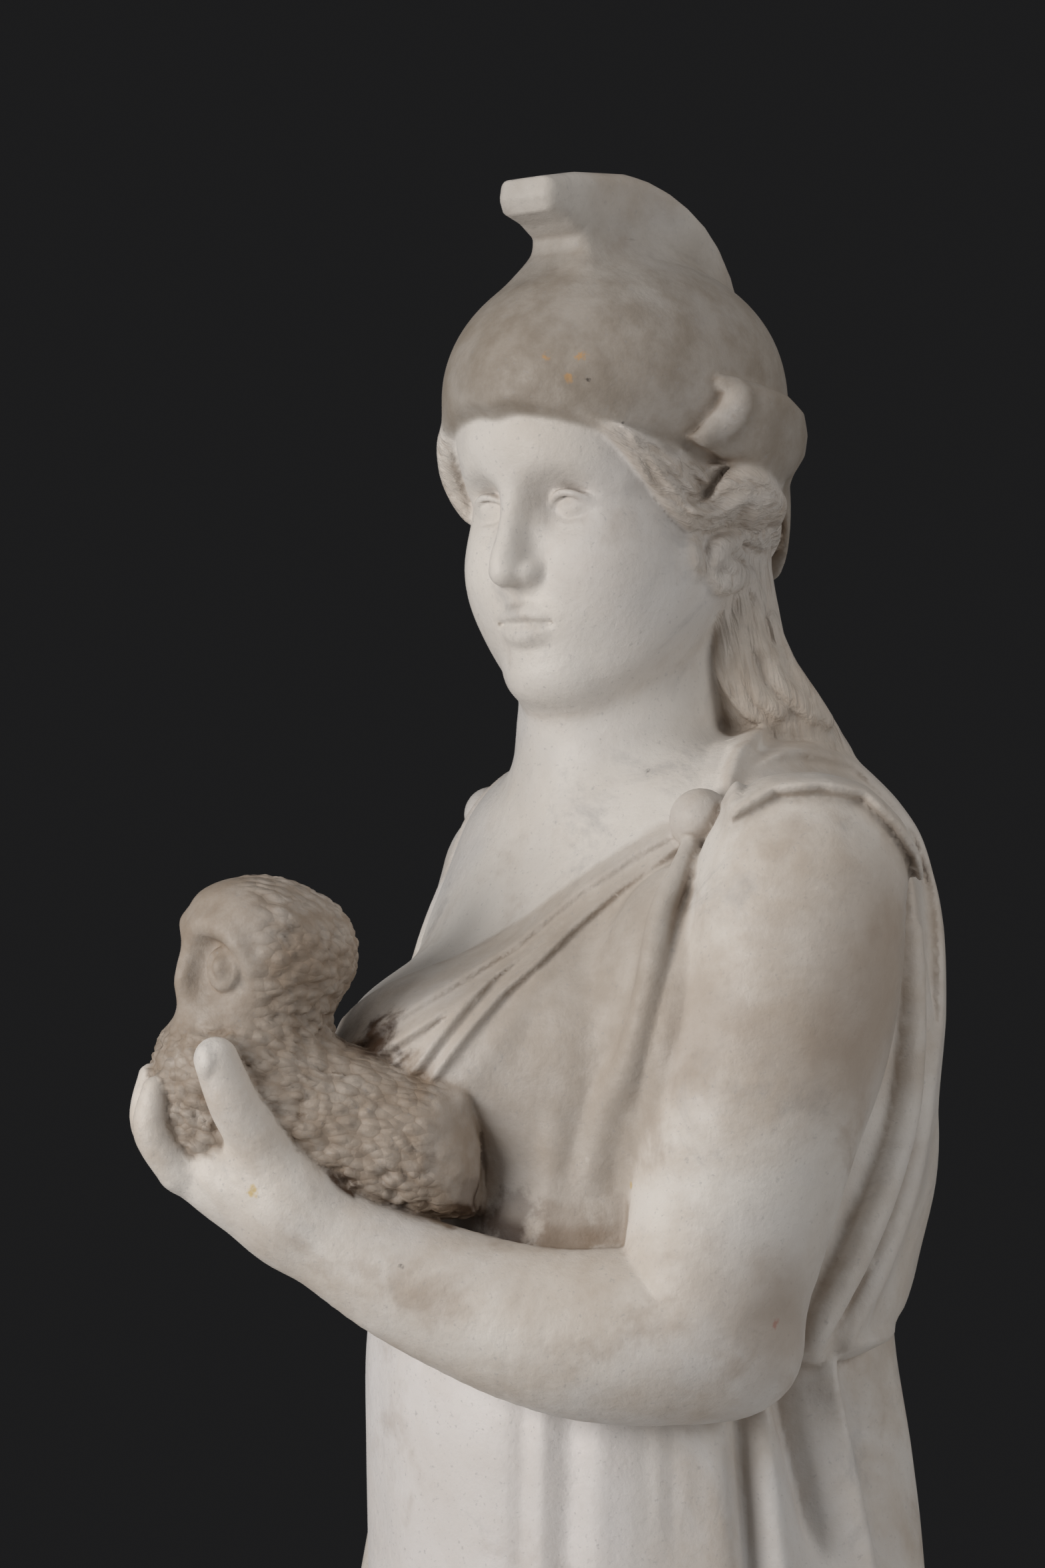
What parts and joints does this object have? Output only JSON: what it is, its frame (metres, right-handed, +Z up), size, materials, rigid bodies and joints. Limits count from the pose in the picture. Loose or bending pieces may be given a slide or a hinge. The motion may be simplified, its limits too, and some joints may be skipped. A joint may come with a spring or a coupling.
{
  "type": "statue",
  "caption": "Standing robed figure in a crested helmet, with a small owl on the bent left forearm, carved in one with a low plinth.",
  "frame": {"origin": "middle of the plinth's flat underside", "axes": "+Z up; the figure faces -Y; its left side, with the owl on that forearm, is towards +X"},
  "size_m": [0.6, 0.6119, 1.9145],
  "materials": {
    "marble": "worn, finely ground surface"
  },
  "bodies": {
    "root": {"athena_statue": "marble"}
  },
  "joints": []
}
